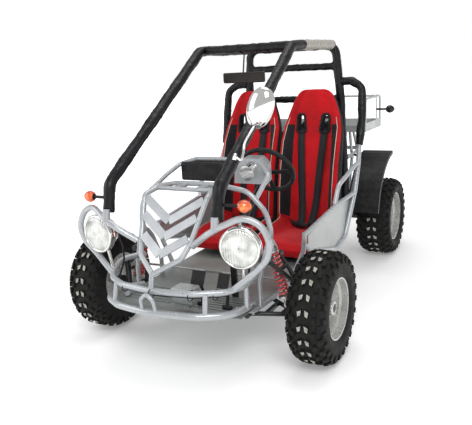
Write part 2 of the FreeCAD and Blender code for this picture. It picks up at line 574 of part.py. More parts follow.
def fender():
    cx0, cx1 = 332.0, 530.0
    cy, cz, ro = 1660.0, 300.0, 440.0
    a0, a1 = math.radians(97), math.radians(168)
    n = 10
    arc_o, arc_i = [], []
    for i in range(n + 1):
        a = a0 + (a1 - a0) * i / n
        arc_o.append((cy + ro * math.cos(a), cz + ro * math.sin(a)))
        arc_i.append((cy + (ro - 5) * math.cos(a), cz + (ro - 5) * math.sin(a)))
    pts = [V(cx0, y, z) for y, z in arc_o + arc_i[::-1]]
    f = Part.Face(Part.makePolygon(pts + [pts[0]])).extrude(V(cx1 - cx0, 0, 0))
    lip = Part.Face(Part.makePolygon([V(cx1 - 5, y, z) for y, z in arc_o] + [V(cx1 - 5, cy + (ro - 24) * math.cos(a), cz + (ro - 24) * math.sin(a)) for a in [a1 + (a0 - a1) * i / n for i in range(n + 1)]] + [V(cx1 - 5, *arc_o[0])])).extrude(V(5, 0, 0))
    stay = cyl(V(288, 1500, 724), V(360, 1500, 700), 8)
    stay2 = cyl(V(322, 1206, 560), V(345, 1262, 520), 8)
    return fuse([f, lip, stay, stay2])


fd = fender()
parts["rear_fenders"] = Part.Compound([fd, mx(fd)])

# luggage rack
RX, RY0, RY1, RZ0, RZ1 = 392.0, 1440.0, 1800.0, 880.0, 1088.0
rk = [box(-RX, RY0, RZ0 - 2, RX, RY1, RZ0 + 1)]
rk.append(tube([(-RX, RY0, RZ0 + 6), (-RX, RY0, RZ1), (-RX, RY1, RZ1), (RX, RY1, RZ1), (RX, RY0, RZ1), (RX, RY0, RZ0 + 6)], 8, 30))
for x in (-RX, -130, 130, RX):
    rk.append(cyl(V(x, RY1, RZ0), V(x, RY1, RZ1), 7))
for s in (1, -1):
    rk.append(box(min(s * RX, s * (RX + 3)), RY0, RZ0 - 2, max(s * RX, s * (RX + 3)), RY1, RZ0 + 52))
    rk.append(box(min(s * RX, s * (RX + 3)), 1690, RZ0, max(s * RX, s * (RX + 3)), 1720, RZ1))
    rk.append(cyl(V(s * 250, 1560, RZ0), V(s * 262, 1560, 724), 10))
    rk.append(cyl(V(s * 200, 1780, RZ0), V(s * 232, 1790, 724), 10))
    rk.append(tube([(s * 262, RY0, RZ0), (s * 280, 1330, 800), (s * 300, 1222, 800)], 10, 30))
rk.append(box(-RX, RY1 - 3, RZ0 - 2, RX, RY1, RZ0 + 52))
rk.append(box(-RX, RY0, RZ0 - 2, RX, RY0 + 3, RZ0 + 40))
parts["rear_rack"] = fuse(rk)
rt = []
for s in (1, -1):
    bl = turned(V(s * 486, 1706, 1002), V(s, 0, 0), LENS)
    rt.append(bl.fuse(cyl(V(s * (RX + 3), 1706, 1002), V(s * 465, 1706, 1002), 7)))
tail = box(-60, RY1, 900, 60, RY1 + 30, 950)
parts["rear_lamps"] = Part.Compound(rt + [tail])

parts["harnesses"] = Part.Compound([harness(SX), mx(harness(SX))])

# ------------------------------------------------------------------ trim overlaps where pieces are welded together
# A later piece in this list is cut by every earlier one on the same body.
CHASSIS = ["lower_frame", "steering_column", "front_bumper", "headlight_loops", "nose_shield", "cowl_hoop", "rear_hoop", "cage_rail_left", "cage_rail_right",
           "roof_crossbar", "cage_side_bars", "side_frames", "rear_subframe", "swing_arm", "engine", "front_arms", "front_shocks", "rear_shocks",
           "floor_pan", "side_panel_left", "side_panel_right", "dash_box", "dash_cowl", "instrument_pod", "driver_seat", "passenger_seat", "harnesses",
           "headlights", "front_turn_signals", "side_mirror", "centre_mirror", "pedals", "fluid_box", "exhaust", "fuel_tank", "rear_fenders", "rear_rack", "rear_lamps", "wiring_loom"]


def solids(s, keep=400.0):
    out = [x for x in s.Solids if x.Volume > keep]
    return out


def overlap_boxes(a, b):
    return a.BoundBox.intersect(b.BoundBox)


clean = {}
for name in CHASSIS:
    s = parts[name]
    pieces = solids(s)
    for prev, p in clean.items():
        if not overlap_boxes(Part.Compound(pieces), p):
            continue
        new = []
        for x in pieces:
            for y in p.Solids:
                if x.BoundBox.intersect(y.BoundBox):
                    try:
                        com = x.common(y)
                        if com.Volume > 0.5:
                            c = x.cut(y)
                            if c.Volume > 0 and c.isValid():
                                x = c
                            else:
                                print("cut kept", name, prev)
                    except Exception as e:
                        print("cut failed", name, prev, e)
            new += [q for q in x.Solids if q.Volume > 400.0]
        pieces = new
    clean[name] = Part.Compound(pieces) if len(pieces) > 1 else pieces[0]
parts.update(clean)

# ------------------------------------------------------------------ write
os.makedirs("parts", exist_ok=True)
for old in os.listdir("parts"):
    if old.endswith(".step"):
        os.remove(os.path.join("parts", old))
for name, s in parts.items():
    s = s.copy()
    sol = s.Solids
    for x in sol:
        if not x.isValid() or x.Volume <= 0:
            print("BAD", name, x.isValid(), x.Volume)
    s = Part.Compound(sol) if len(sol) != 1 else sol[0]
    s.translate(V(0, -Y_SHIFT, 0))
    s.exportStep("parts/%s.step" % name)
    b = s.BoundBox
    print("%-20s n=%d vol=%.0f cm3  x %.0f..%.0f y %.0f..%.0f z %.0f..%.0f" % (name, len(sol), s.Volume / 1000, b.XMin, b.XMax, b.YMin, b.YMax, b.ZMin, b.ZMax))
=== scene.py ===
import bpy, bmesh, math
from mathutils import Vector, Matrix, noise

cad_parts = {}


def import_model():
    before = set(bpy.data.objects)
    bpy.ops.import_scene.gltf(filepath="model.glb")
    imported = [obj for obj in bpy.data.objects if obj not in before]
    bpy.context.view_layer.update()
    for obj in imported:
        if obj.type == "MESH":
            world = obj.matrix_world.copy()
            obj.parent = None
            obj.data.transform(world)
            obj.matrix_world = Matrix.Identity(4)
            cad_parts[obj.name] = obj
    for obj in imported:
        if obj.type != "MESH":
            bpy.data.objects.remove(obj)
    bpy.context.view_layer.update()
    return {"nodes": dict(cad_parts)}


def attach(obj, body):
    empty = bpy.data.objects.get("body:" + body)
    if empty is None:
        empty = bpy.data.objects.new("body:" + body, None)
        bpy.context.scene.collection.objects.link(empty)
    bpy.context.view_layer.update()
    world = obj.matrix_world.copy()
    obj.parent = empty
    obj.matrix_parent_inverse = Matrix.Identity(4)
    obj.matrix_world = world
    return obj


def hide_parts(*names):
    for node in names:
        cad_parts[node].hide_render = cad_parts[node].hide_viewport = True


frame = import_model()
NODES = frame["nodes"]
S = 0.7265            # front axle to the origin, metres
pi = math.pi


def P(x, y, z):
    """Point in millimetres, Y counted from the front axle."""
    return Vector((x / 1000, y / 1000 - S, z / 1000))


# ------------------------------------------------------------------ materials
class Mat:
    def __init__(self, name):
        self.m = bpy.data.materials.new(name)
        self.m.use_nodes = True
        self.t = self.m.node_tree
        self.b = self.t.nodes["Principled BSDF"]

    def n(self, kind, **kw):
        d = self.t.nodes.new(kind)
        for k, v in kw.items():
            if hasattr(d, k):
                setattr(d, k, v)
            else:
                d.inputs[k.replace("_", " ")].default_value = v
        return d

    def l(self, a, b):
        self.t.links.new(a, b)

    def coord(self, scale=(1, 1, 1)):
        c = self.n("ShaderNodeTexCoord")
        m = self.n("ShaderNodeMapping")
        m.inputs["Scale"].default_value = scale
        self.l(c.outputs["Object"], m.inputs["Vector"])
        return m.outputs["Vector"]

    def noise(self, scale, detail=4.0, rough=0.55, vec=None, stretch=(1, 1, 1)):
        t = self.n("ShaderNodeTexNoise")
        t.inputs["Scale"].default_value = scale
        t.inputs["Detail"].default_value = detail
        t.inputs["Roughness"].default_value = rough
        self.l(vec or self.coord(stretch), t.inputs["Vector"])
        return t.outputs["Fac"]

    def ramp(self, fac, stops):
        r = self.n("ShaderNodeValToRGB")
        e = r.color_ramp.elements
        while len(e) < len(stops):
            e.new(0.5)
        for el, (p, c) in zip(e, stops):
            el.position = p
            el.color = (*c, 1) if len(c) == 3 else c
        self.l(fac, r.inputs["Fac"])
        return r.outputs["Color"]

    def bump(self, height, strength, dist, prev=None):
        b = self.n("ShaderNodeBump")
        b.inputs["Strength"].default_value = strength
        b.inputs["Distance"].default_value = dist
        self.l(height, b.inputs["Height"])
        if prev:
            self.l(prev, b.inputs["Normal"])
        return b.outputs["Normal"]


def mix3(a, b, t):
    return tuple(x + (y - x) * t for x, y in zip(a, b))


def painted(name, col, rough=0.3, metal=0.0, coat=0.0, var=0.12, scale=14.0, bump=0.12, dist=0.0006, fine=240.0, rr=0.12, spec=0.5):
    m = Mat(name)
    m.b.inputs["Specular IOR Level"].default_value = spec
    c = m.ramp(m.noise(scale), [(0.3, mix3(col, (0, 0, 0), var)), (0.7, mix3(col, (1, 1, 1), var * 0.4))])
    m.l(c, m.b.inputs["Base Color"])
    m.l(m.ramp(m.noise(scale * 2.7), [(0.3, (max(0.02, rough - rr),) * 3), (0.75, (min(1, rough + rr),) * 3)]), m.b.inputs["Roughness"])
    m.b.inputs["Metallic"].default_value = metal
    m.b.inputs["Coat Weight"].default_value = coat
    m.l(m.bump(m.noise(fine, 3), bump, dist), m.b.inputs["Normal"])
    return m.m


SILVER = painted("silver_paint", (0.40, 0.42, 0.44), 0.34, 0.40, 0.3, 0.07, 7, 0.05, 0.0005, 160)
SHEET = painted("silver_sheet", (0.46, 0.48, 0.47), 0.42, 0.45, 0.1, 0.10, 6, 0.18, 0.0006, 90)
FLOOR_M = painted("floor_sheet", (0.30, 0.325, 0.31), 0.45, 0.5, 0.0, 0.25, 5, 0.3, 0.0008, 60)
BLACK_STEEL = painted("black_steel", (0.010, 0.010, 0.011), 0.35, 0.1, 0.3, 0.04, 20, 0.2, 0.0006, 180, spec=0.22)
PLASTIC = painted("black_plastic", (0.007, 0.007, 0.0075), 0.5, 0.0, 0.0, 0.04, 30, 0.35, 0.0006, 500, spec=0.22)
GLOSSB = painted("smoke_black", (0.009, 0.006, 0.004), 0.2, 0.0, 0.3, 0.03, 12, 0.1, 0.0005, 120, spec=0.22)
CHROME = painted("chrome_bright", (0.80, 0.80, 0.78), 0.09, 1.0, 0.0, 0.12, 7, 0.05, 0.0004, 60, 0.05)
STEEL = painted("bright_steel", (0.50, 0.50, 0.49), 0.32, 0.9, 0.0, 0.2, 18, 0.2, 0.0005, 220)
RIM = painted("rim_silver", (0.60, 0.60, 0.58), 0.30, 0.6, 0.3, 0.15, 10, 0.1, 0.0005, 120)
SPRING = painted("spring_red", (0.58, 0.012, 0.015), 0.28, 0.0, 0.6, 0.25, 26, 0.1, 0.0005, 120)
ALLOY = painted("engine_alloy", (0.40, 0.41, 0.41), 0.45, 0.8, 0.0, 0.3, 16, 0.4, 0.001, 120)
CAST = painted("grey_cast", (0.50, 0.52, 0.52), 0.40, 0.6, 0.0, 0.2, 22, 0.3, 0.0008, 140)
PIPING = painted("piping_beige", (0.50, 0.40, 0.32), 0.6, 0.0, 0.0, 0.2, 60, 0.4, 0.0005, 900)
HUBCAP = painted("hub_black", (0.01, 0.01, 0.01), 0.3, 0.0, 0.2, 0.05, 30, 0.1, 0.0005, 120, spec=0.22)
# light grey-beige knob-top colour: a painted highlight on the tops of the centre tread knobs
KNOB_HIGHLIGHT = painted("knob_top_painted_highlight", (0.36, 0.35, 0.30), 0.75, 0.0, 0.0, 0.35, 60, 0.5, 0.001, 300)
LOOM = painted("loom_sleeve", (0.008, 0.008, 0.009), 0.5, 0.0, 0.0, 0.05, 80, 0.5, 0.001, 300, spec=0.22)


def tyre_mat():
    m = Mat("tyre_rubber")
    c = m.ramp(m.noise(30), [(0.3, (0.004, 0.004, 0.004)), (0.62, (0.011, 0.0105, 0.0095)), (0.85, (0.03, 0.028, 0.024))])
    m.l(c, m.b.inputs["Base Color"])
    m.l(m.ramp(m.noise(60), [(0.3, (0.55,) * 3), (0.7, (0.8,) * 3)]), m.b.inputs["Roughness"])
    m.l(m.bump(m.noise(350, 4), 0.35, 0.0008), m.b.inputs["Normal"])
    m.b.inputs["Specular IOR Level"].default_value = 0.22
    return m.m


def pad_mat(name, tape=False):
    """Black vinyl sleeve with lengthways creases; one stretch may be bound in grey tape."""
    m = Mat(name)
    base = m.ramp(m.noise(22), [(0.3, (0.002, 0.002, 0.003)), (0.6, (0.006, 0.006, 0.008)), (0.85, (0.016, 0.016, 0.019))])
    if tape:
        c = m.n("ShaderNodeTexCoord")
        s = m.n("ShaderNodeSeparateXYZ")
        m.l(c.outputs["Object"], s.inputs["Vector"])
        y0, y1 = P(0, 655, 0).y, P(0, 1110, 0).y
        r = m.n("ShaderNodeMapRange")
        r.inputs["From Min"].default_value = y0
        r.inputs["From Max"].default_value = y1
        m.l(s.outputs["Y"], r.inputs["Value"])
        mask = m.ramp(r.outputs["Result"], [(0.0, (0, 0, 0)), (0.012, (1, 1, 1)), (0.985, (1, 1, 1)), (1.0, (0, 0, 0))])
        w = m.n("ShaderNodeTexWave")
        w.inputs["Scale"].default_value = 14
        w.inputs["Distortion"].default_value = 3
        w.bands_direction = "Y"
        m.l(m.coord(), w.inputs["Vector"])
        tc = m.ramp(w.outputs["Fac"], [(0.1, (0.20, 0.19, 0.16)), (0.6, (0.34, 0.33, 0.29)), (0.9, (0.42, 0.41, 0.37))])
        mx = m.n("ShaderNodeMix", data_type="RGBA")
        m.l(mask, mx.inputs["Factor"])
        m.l(base, mx.inputs["A"])
        m.l(tc, mx.inputs["B"])
        base = mx.outputs["Result"]
    m.l(base, m.b.inputs["Base Color"])
    m.l(m.ramp(m.noise(40), [(0.3, (0.30,) * 3), (0.75, (0.52,) * 3)]), m.b.inputs["Roughness"])
    m.b.inputs["Specular IOR Level"].default_value = 0.28
    b1 = m.bump(m.noise(26, 5, 0.6, stretch=(1, 0.5, 0.5)), 0.5, 0.004)
    b2 = m.bump(m.noise(170, 3), 0.3, 0.001, b1)
    m.l(b2, m.b.inputs["Normal"])
    return m.m


def fabric(name, col, dark, scale=900.0, sheen=0.3, rough=0.8, fold=0.5):
    m = Mat(name)
    w1 = m.n("ShaderNodeTexWave"); w1.bands_direction = "X"
    w2 = m.n("ShaderNodeTexWave"); w2.bands_direction = "Z"
    v = m.coord()
    for w in (w1, w2):
        w.inputs["Scale"].default_value = scale / 6.0
        w.inputs["Distortion"].default_value = 0.6
        m.l(v, w.inputs["Vector"])
    mul = m.n("ShaderNodeMath", operation="ADD")
    m.l(w1.outputs["Fac"], mul.inputs[0])
    m.l(w2.outputs["Fac"], mul.inputs[1])
    big = m.ramp(m.noise(5.5, 3), [(0.32, dark), (0.68, col)])
    fine = m.ramp(m.noise(130, 3), [(0.3, (0.78,) * 3), (0.7, (1.0,) * 3)])
    mm = m.n("ShaderNodeMix", data_type="RGBA", blend_type="MULTIPLY")
    mm.inputs["Factor"].default_value = 1.0
    m.l(big, mm.inputs["A"])
    m.l(fine, mm.inputs["B"])
    m.l(mm.outputs["Result"], m.b.inputs["Base Color"])
    m.l(m.ramp(m.noise(60), [(0.3, (rough - 0.1,) * 3), (0.7, (min(1, rough + 0.1),) * 3)]), m.b.inputs["Roughness"])
    m.b.inputs["Sheen Weight"].default_value = sheen
    m.b.inputs["Specular IOR Level"].default_value = 0.2
    b1 = m.bump(m.noise(11, 4, 0.5), fold, 0.006)
    b2 = m.bump(mul.outputs["Value"], 0.25, 0.0008, b1)
    m.l(b2, m.b.inputs["Normal"])
    return m.m


RED = fabric("seat_red", (0.56, 0.004, 0.009), (0.36, 0.003, 0.006), sheen=0.08)
SEATBLK = fabric("seat_black", (0.018, 0.018, 0.022), (0.009, 0.009, 0.011), sheen=0.03)
BELT = fabric("belt_black", (0.020, 0.020, 0.024), (0.010, 0.010, 0.012), scale=1800, sheen=0.03, rough=0.6, fold=0.1)
TYRE = tyre_mat()
PADM, PADT = pad_mat("pad_black"), pad_mat("pad_taped", True)


def lens_mat():
    m = Mat("lamp_glass")
    w = m.n("ShaderNodeTexWave")
    w.bands_direction = "X"
    w.inputs["Scale"].default_value = 26
    w.inputs["Distortion"].default_value = 1.2
    m.l(m.coord(), w.inputs["Vector"])
    c = m.ramp(m.noise(16, 4), [(0.28, (0.30, 0.31, 0.28)), (0.5, (0.62, 0.63, 0.60)), (0.7, (0.92, 0.93, 0.92))])
    m.l(c, m.b.inputs["Base Color"])
    m.l(m.ramp(m.noise(30), [(0.3, (0.06,) * 3), (0.7, (0.22,) * 3)]), m.b.inputs["Roughness"])
    m.b.inputs["Metallic"].default_value = 0.35
    m.b.inputs["Coat Weight"].default_value = 1.0
    m.l(m.bump(w.outputs["Fac"], 0.6, 0.003), m.b.inputs["Normal"])
    return m.m


def amber_mat():
    m = Mat("amber_lens")
    v = m.n("ShaderNodeTexVoronoi")
    v.inputs["Scale"].default_value = 110
    m.l(m.coord(), v.inputs["Vector"])
    m.l(m.ramp(m.noise(45, 2), [(0.3, (0.42, 0.03, 0.004)), (0.55, (0.82, 0.12, 0.01)), (0.75, (1.0, 0.36, 0.05))]), m.b.inputs["Base Color"])
    m.l(m.ramp(m.noise(20), [(0.3, (0.08,) * 3), (0.7, (0.2,) * 3)]), m.b.inputs["Roughness"])
    m.b.inputs["Coat Weight"].default_value = 1.0
    m.l(m.bump(v.outputs["Distance"], 0.5, 0.002), m.b.inputs["Normal"])
    return m.m


LENS, AMBER = lens_mat(), amber_mat()


def give(node, mat):
    o = NODES[node]
    o.data.materials.clear()
    o.data.materials.append(mat)


ASSIGN = {
    "lower_frame": SILVER, "steering_column": BLACK_STEEL, "front_bumper": SILVER, "headlight_loops": SILVER, "nose_shield": SILVER, "cowl_hoop": SILVER,
    "rear_hoop": PADM, "cage_rail_left": PADT, "cage_rail_right": PADM, "roof_crossbar": PADM, "cage_side_bars": PADM, "side_frames": SILVER,
    "rear_subframe": SILVER, "swing_arm": BLACK_STEEL, "engine": ALLOY, "front_arms": BLACK_STEEL, "front_shocks": SPRING, "rear_shocks": SPRING,
    "floor_pan": FLOOR_M, "side_panel_left": SHEET, "side_panel_right": SHEET, "dash_box": PLASTIC, "dash_cowl": SILVER, "instrument_pod": CHROME,
    "driver_seat": RED, "passenger_seat": RED, "harnesses": BELT, "headlights": CHROME, "front_turn_signals": AMBER, "side_mirror": CHROME,
    "centre_mirror": GLOSSB, "pedals": BLACK_STEEL, "fluid_box": CAST, "exhaust": STEEL, "fuel_tank": PLASTIC, "rear_fenders": PLASTIC, "rear_rack": SHEET,
    "rear_lamps": GLOSSB, "wiring_loom": LOOM, "steering_wheel": PLASTIC, "knuckle_left": BLACK_STEEL, "knuckle_right": BLACK_STEEL, "tie_rods": STEEL,
    "front_left_tyre": TYRE, "front_right_tyre": TYRE, "rear_left_tyre": TYRE, "rear_right_tyre": TYRE, "front_left_wheel": RIM, "front_right_wheel": RIM,
    "rear_left_wheel": RIM, "rear_right_wheel": RIM, "rear_axle": STEEL,
}
for k, v in ASSIGN.items():
    if k in NODES:
        give(k, v)


# ------------------------------------------------------------------ mesh helpers
def obj(name, verts, faces, mats, body, idx=None, smooth=True, slot=None):
    me = bpy.data.meshes.new(name)
    me.from_pydata([tuple(v) for v in verts], [], faces)
    for mm in (mats if isinstance(mats, (list, tuple)) else [mats]):
        me.materials.append(mm)
    if idx:
        me.polygons.foreach_set("material_index", idx)
    bm = bmesh.new()
    bm.from_mesh(me)
    bmesh.ops.remove_doubles(bm, verts=bm.verts, dist=1e-6)
    bmesh.ops.recalc_face_normals(bm, faces=bm.faces)
    bm.to_mesh(me)
    bm.free()
    me.polygons.foreach_set("use_smooth", [smooth] * len(me.polygons))
    o = bpy.data.objects.new(name, me)
    bpy.context.scene.collection.objects.link(o)
    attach(o, body)
    return o


def applied(o):
    bpy.context.view_layer.update()
    dg = bpy.context.evaluated_depsgraph_get()
    me = bpy.data.meshes.new_from_object(o.evaluated_get(dg))
    o.modifiers.clear()
    o.data = me
    return o


def frames(pts, closed=False):
    out = []
    n = len(pts)
    t0 = (pts[1] - pts[0]).normalized()
    a = Vector((0, 0, 1)) if abs(t0.z) < 0.9 else Vector((1, 0, 0))
    u = (a - t0 * a.dot(t0)).normalized()
    for i in range(n):
        t = (pts[min(i + 1, n - 1)] - pts[max(i - 1, 0)])
        t.normalize()
        u = (u - t * u.dot(t)).normalized()
        out.append((t, u, t.cross(u)))
    return out


def sweep(pts, r, k=10, closed=False):
    """Round wire along pts: vertices and faces."""
    fr = frames(pts)
    V_, F_ = [], []
    for p, (t, u, w) in zip(pts, fr):
        for j in range(k):
            a = 2 * pi * j / k
            V_.append(p + u * (math.cos(a) * r) + w * (math.sin(a) * r))
    n = len(pts)
    for i in range(n - 1):
        for j in range(k):
            F_.append((i * k + j, i * k + (j + 1) % k, (i + 1) * k + (j + 1) % k, (i + 1) * k + j))
    if closed:
        for j in range(k):
            F_.append(((n - 1) * k + j, (n - 1) * k + (j + 1) % k, (j + 1) % k, j))
    else:
        F_.append(tuple(range(k))[::-1])
        F_.append(tuple((n - 1) * k + j for j in range(k)))
    return V_, F_


def lathe(c, axis, prof, k=48, closed=True):
    ax = Vector(axis).normalized()
    a = Vector((0, 0, 1)) if abs(ax.z) < 0.9 else Vector((1, 0, 0))
    u = (a - ax * a.dot(ax)).normalized()
    w = ax.cross(u)
    V_, F_ = [], []
    n = len(prof)
    for j in range(k):
        t = 2 * pi * j / k
        d = u * math.cos(t) + w * math.sin(t)
        for s, r in prof:
            V_.append(c + ax * s + d * r)
    for j in range(k):
        for i in range(n if closed else n - 1):
            F_.append((j * n + i, j * n + (i + 1) % n, ((j + 1) % k) * n + (i + 1) % n, ((j + 1) % k) * n + i))
    return V_, F_


def add(dst, vf):
    o = len(dst[0])
    dst[0].extend(vf[0])
    dst[1].extend([tuple(i + o for i in f) for f in vf[1]])
    return len(vf[1])


def block(c8):
    """8 corners: bottom 4 then top 4 -> verts, faces (top face last)."""
    return c8, [(0, 3, 2, 1), (0, 1, 5, 4), (1, 2, 6, 5), (2, 3, 7, 6), (3, 0, 4, 7), (4, 5, 6, 7)]


def bevelled(o, w=0.002, seg=2):
    m = o.modifiers.new("b", "BEVEL")
    m.width = w
    m.segments = seg
    m.limit_method = "ANGLE"
    m.angle_limit = 0.6
    return applied(o)


# ------------------------------------------------------------------ tyres
def tyre(name, body, node, cx, cy, R, hw, rim, n, lug, lit_tops, outer):
    c = P(cx, cy, R)
    Rm, H, r0 = R / 1000, hw / 1000, rim / 1000
    rc = Rm - lug
    prof = [(-0.80, r0 - 0.001), (-0.90, r0 + 0.012), (-0.965, r0 + 0.35 * (rc - r0)), (-0.955, r0 + 0.62 * (rc - r0)), (-0.87, rc - 0.020), (-0.70, rc - 0.006),
            (-0.4, rc - 0.001), (0, rc), (0.4, rc - 0.001), (0.70, rc - 0.006), (0.87, rc - 0.020), (0.955, r0 + 0.62 * (rc - r0)), (0.965, r0 + 0.35 * (rc - r0)),
            (0.90, r0 + 0.012), (0.80, r0 - 0.001), (0.70, r0 + 0.006), (0, r0 + 0.01), (-0.70, r0 + 0.006)]
    V_, F_, I_ = [], [], []
    vf = lathe(c, (1, 0, 0), [(x * H, r) for x, r in prof], 96)
    add((V_, F_), vf)
    I_ += [0] * len(vf[1])

    def at(x, r, a):
        return c + Vector((x * H, -math.sin(a) * r, math.cos(a) * r))

    def rtop(x):
        x = abs(x)
        return Rm - 0.0005 if x < 0.45 else Rm - 0.0005 - 0.022 * max(0, (x - 0.45) / 0.5) ** 1.6

    def lugs(corners, top=1, shrink=0.82, depth=None):
        """corners: four (x, angle); a tapered block from the carcass to the tread radius."""
        mx_ = sum(q[0] for q in corners) / 4
        ma = sum(q[1] for q in corners) / 4
        lo = [at(x, rc - 0.014 if abs(x) > 0.55 else rc - 0.004, a) for x, a in corners]
        hi = [at(mx_ + (x - mx_) * shrink, rtop(mx_ + (x - mx_) * shrink), ma + (a - ma) * shrink) for x, a in corners]
        vf_ = block(lo + hi)
        add((V_, F_), vf_)
        I_.extend([0] * 5 + [top])

    pitch = 2 * pi / n
    lit_top_index = 1 if lit_tops else 0
    for i in range(n):
        a0 = i * pitch
        for s in (1, -1):
            # centre pair: leaning trapezoids that open backwards
            lugs([(s * 0.05, a0 - 0.24 * pitch), (s * 0.30, a0 - 0.10 * pitch), (s * 0.26, a0 + 0.32 * pitch), (s * 0.09, a0 + 0.20 * pitch)], lit_top_index)
            # intermediate lug, half a pitch later
            a1 = a0 + 0.5 * pitch
            lugs([(s * 0.38, a1 - 0.22 * pitch), (s * 0.60, a1 - 0.30 * pitch), (s * 0.62, a1 + 0.10 * pitch), (s * 0.40, a1 + 0.20 * pitch)], 0)
            # shoulder lug
            lugs([(s * 0.66, a0 - 0.28 * pitch), (s * 0.90, a0 - 0.30 * pitch), (s * 0.90, a0 + 0.26 * pitch), (s * 0.66, a0 + 0.22 * pitch)], 0, 0.86)
            # side lug standing on the wall
            lo_, hi_ = [], []
            for r_, a_ in ((rc - 0.012, a1 - 0.22 * pitch), (rc - 0.012, a1 + 0.22 * pitch), (rc - 0.040, a1 + 0.18 * pitch), (rc - 0.040, a1 - 0.18 * pitch)):
                lo_.append(at(s * 0.86, r_, a_))
                hi_.append(at(s * (0.992 if r_ < rc - 0.02 else 0.965), r_ - 0.001, a_))
            add((V_, F_), block(lo_ + hi_))
            I_.extend([0] * 6)
    o = obj(name, V_, F_, [TYRE, KNOB_HIGHLIGHT], body, None, True, "tyre_rubber")
    # material by face index is set after the merge of doubles, by normal and radius
    me = o.data
    # the tops of the centre knobs take the light knob-top material, a painted highlight
    if lit_tops:
        for p_ in me.polygons:
            q = p_.center - c
            rr_ = math.hypot(q.y, q.z)
            if rr_ > Rm - 0.0035 and abs(q.x) < 0.34 * H and len(p_.vertices) == 4:
                p_.material_index = 1
    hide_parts(node)
    m = o.modifiers.new("b", "BEVEL")
    m.width = 0.0016
    m.segments = 1
    m.limit_method = "ANGLE"
    m.angle_limit = 0.7
    m.material = -1
    applied(o)
    for p_ in o.data.polygons:
        p_.use_smooth = True
    e = o.modifiers.new("e", "EDGE_SPLIT")
    e.split_angle = 0.6
    return applied(o)


tyre("front_left_knobby", "left_front_wheel", "front_left_tyre", 602, 0, 260, 92, 138, 24, 0.013, True, 1)
tyre("front_right_knobby", "right_front_wheel", "front_right_tyre", -602, 0, 260, 92, 138, 24, 0.013, True, -1)
tyre("rear_left_knobby", "live_axle", "rear_left_tyre", 430, 1700, 265, 116, 160, 26, 0.012, True, 1)
tyre("rear_right_knobby", "live_axle", "rear_right_tyre", -430, 1700, 265, 116, 160, 26, 0.012, True, -1)


# hub caps, wheel nuts, valves
def wheel_trim(name, body, cx, cy, cz, s, front):
    V_, F_ = [], []
    x0 = (24 if front else 20)
    for i in range(4):
        a = pi / 4 + i * pi / 2
        q = P(cx + s * (10 if front else 12), cy + 52 * math.cos(a), cz + 52 * math.sin(a))
        add((V_, F_), lathe(q, (s, 0, 0), [(0, 0.0001), (0, 0.010), (0.010, 0.010), (0.013, 0.007), (0.018, 0.006), (0.020, 0.0001)], 6))
    q = P(cx + s * (30 if front else 34), cy + 8, cz + (104 if front else 120))
    add((V_, F_), lathe(q, (s, 0, 0), [(0, 0.0001), (0, 0.004), (0.022, 0.0035), (0.022, 0.0045), (0.030, 0.0045), (0.031, 0.0001)], 12))
    o = obj(name, V_, F_, STEEL, body, None, False, "bright_steel")
    if front:
        V2, F2 = lathe(P(cx + s * 22, cy, cz), (s, 0, 0), [(0, 0.0001), (0, 0.0345), (0.018, 0.0345), (0.026, 0.032), (0.033, 0.025), (0.036, 0.012), (0.0365, 0.0001)], 40)
        obj(name + "_cap", V2, F2, HUBCAP, body, None, True, "rim_silver")


wheel_trim("fl_nuts", "left_front_wheel", 602, 0, 260, 1, True)
wheel_trim("fr_nuts", "right_front_wheel", -602, 0, 260, -1, True)
wheel_trim("rl_nuts", "live_axle", 430, 1700, 265, 1, False)
wheel_trim("rr_nuts", "live_axle", -430, 1700, 265, -1, False)


# ------------------------------------------------------------------ cage pads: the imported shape, remeshed and creased
def crease(name, node, mat, amp=0.0028, vox=0.007):
    src = NODES[node]
    me = src.data.copy()
    me.materials.clear()
    me.materials.append(mat)
    o = bpy.data.objects.new(name, me)
    bpy.context.scene.collection.objects.link(o)
    m = o.modifiers.new("r", "REMESH")
    m.mode = "VOXEL"
    m.voxel_size = vox
    m.use_smooth_shade = True
    applied(o)
    me = o.data
    nor = [v.normal.copy() for v in me.vertices]
    for v, nn in zip(me.vertices, nor):
        p = v.co * 1.0
        a = noise.noise(Vector((p.x * 34, p.y * 16, p.z * 16))) + 0.6 * noise.noise(p * 70) + 0.9 * noise.noise(p * 9)
        v.co = v.co + nn * (amp * (a - 0.55))
    me.polygons.foreach_set("use_smooth", [True] * len(me.polygons))
    me.materials.clear()
    me.materials.append(mat)
    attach(o, "chassis")
    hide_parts(node)
    return o


crease("pad_left_rail", "cage_rail_left", PADT)
crease("pad_right_rail", "cage_rail_right", PADM)
crease("pad_roof_bar", "roof_crossbar", PADM)
crease("pad_hoop", "rear_hoop", PADM)
crease("pad_side_bars", "cage_side_bars", PADM)


# ------------------------------------------------------------------ seats
def lerp_table(tab, v):
    for (a, pa), (b, pb) in zip(tab[:-1], tab[1:]):
        if v <= b:
            t = (v - a) / (b - a) if b > a else 0
            t = t * t * (3 - 2 * t) * 0.5 + t * 0.5
            return [x + (y - x) * t for x, y in zip(pa, pb)]
    return list(tab[-1][1])


